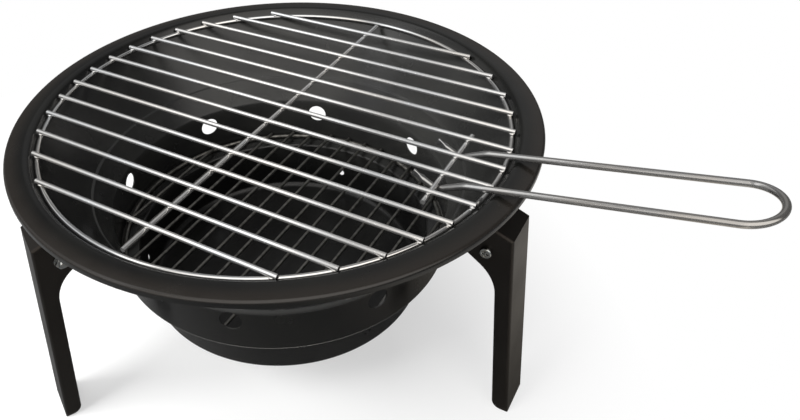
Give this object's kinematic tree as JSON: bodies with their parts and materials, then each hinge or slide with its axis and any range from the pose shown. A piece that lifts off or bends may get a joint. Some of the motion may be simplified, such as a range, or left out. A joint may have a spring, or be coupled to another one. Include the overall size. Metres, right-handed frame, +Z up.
{
  "type": "tabletop charcoal grill",
  "caption": "Round tabletop charcoal grill: stepped black bowl with air holes on folding channel legs, chromed bar grid with a wire loop handle, and a wire charcoal grate inside.",
  "frame": {"origin": "on the ground under the bowl's axis, midway between the three feet", "axes": "+Z up along the bowl's axis, +X along the handle, over leg 1"},
  "size_m": [0.459, 0.34, 0.2082],
  "materials": {
    "black_enamel": "satin black enamel fired on pressed steel",
    "leg_paint": "satin black stove paint on folded sheet steel",
    "chrome_wire": "bright chrome plate on drawn wire",
    "grate_wire": "dull plated drawn wire",
    "zinc_plate": "bright zinc plate"
  },
  "bodies": {
    "bowl": {"fire_bowl": "black_enamel", "leg_bracket_1": "black_enamel", "leg_screw_1": "zinc_plate", "leg_washer_1": "zinc_plate", "leg_nut_1": "zinc_plate", "leg_bracket_2": "black_enamel", "leg_screw_2": "zinc_plate", "leg_washer_2": "zinc_plate", "leg_nut_2": "zinc_plate", "leg_bracket_3": "black_enamel", "leg_screw_3": "zinc_plate", "leg_washer_3": "zinc_plate", "leg_nut_3": "zinc_plate"},
    "leg_1": {"leg_1": "leg_paint"},
    "leg_2": {"leg_2": "leg_paint"},
    "leg_3": {"leg_3": "leg_paint"},
    "cooking_grid": {"grid_ring": "chrome_wire", "grid_cross_rod": "chrome_wire", "grid_handle_rod": "chrome_wire", "grid_bar_01": "chrome_wire", "grid_bar_02": "chrome_wire", "grid_bar_03": "chrome_wire", "grid_bar_04": "chrome_wire", "grid_bar_05": "chrome_wire", "grid_bar_06": "chrome_wire", "grid_bar_07": "chrome_wire", "grid_bar_08": "chrome_wire", "grid_bar_09": "chrome_wire", "grid_bar_10": "chrome_wire", "grid_bar_11": "chrome_wire", "grid_bar_12": "chrome_wire", "grid_bar_13": "chrome_wire", "grid_bar_14": "chrome_wire"},
    "handle": {"handle": "chrome_wire"},
    "charcoal_grate": {"grate_ring": "grate_wire", "grate_bar_01": "grate_wire", "grate_bar_02": "grate_wire", "grate_bar_03": "grate_wire", "grate_bar_04": "grate_wire", "grate_bar_05": "grate_wire", "grate_bar_06": "grate_wire", "grate_bar_07": "grate_wire", "grate_bar_08": "grate_wire", "grate_bar_09": "grate_wire", "grate_bar_10": "grate_wire", "grate_bar_11": "grate_wire", "grate_bar_12": "grate_wire", "grate_bar_13": "grate_wire", "grate_bar_14": "grate_wire"}
  },
  "joints": [
    {"name": "leg_1_fold", "type": "hinge", "parent": "bowl", "child": "leg_1", "pos_m": [0.1536, 0, 0.1335], "axis": [0, 1, 0], "range_deg": [0, 39]},
    {"name": "leg_2_fold", "type": "hinge", "parent": "bowl", "child": "leg_2", "pos_m": [-0.0768, 0.13302, 0.1335], "axis": [-0.866, -0.5, 0], "range_deg": [0, 39]},
    {"name": "leg_3_fold", "type": "hinge", "parent": "bowl", "child": "leg_3", "pos_m": [-0.0768, -0.13302, 0.1335], "axis": [0.866, -0.5, 0], "range_deg": [0, 39]},
    {"name": "grid_lift", "type": "slide", "parent": "bowl", "child": "cooking_grid", "axis": [0, 0, 1], "range_m": [0, 0.15]},
    {"name": "handle_swing", "type": "hinge", "parent": "cooking_grid", "child": "handle", "pos_m": [0.1214, 0, 0.17386], "axis": [0, -1, 0], "range_deg": [0, 160]},
    {"name": "grate_lift", "type": "slide", "parent": "bowl", "child": "charcoal_grate", "axis": [0, 0, 1], "range_m": [0, 0.06]}
  ]
}
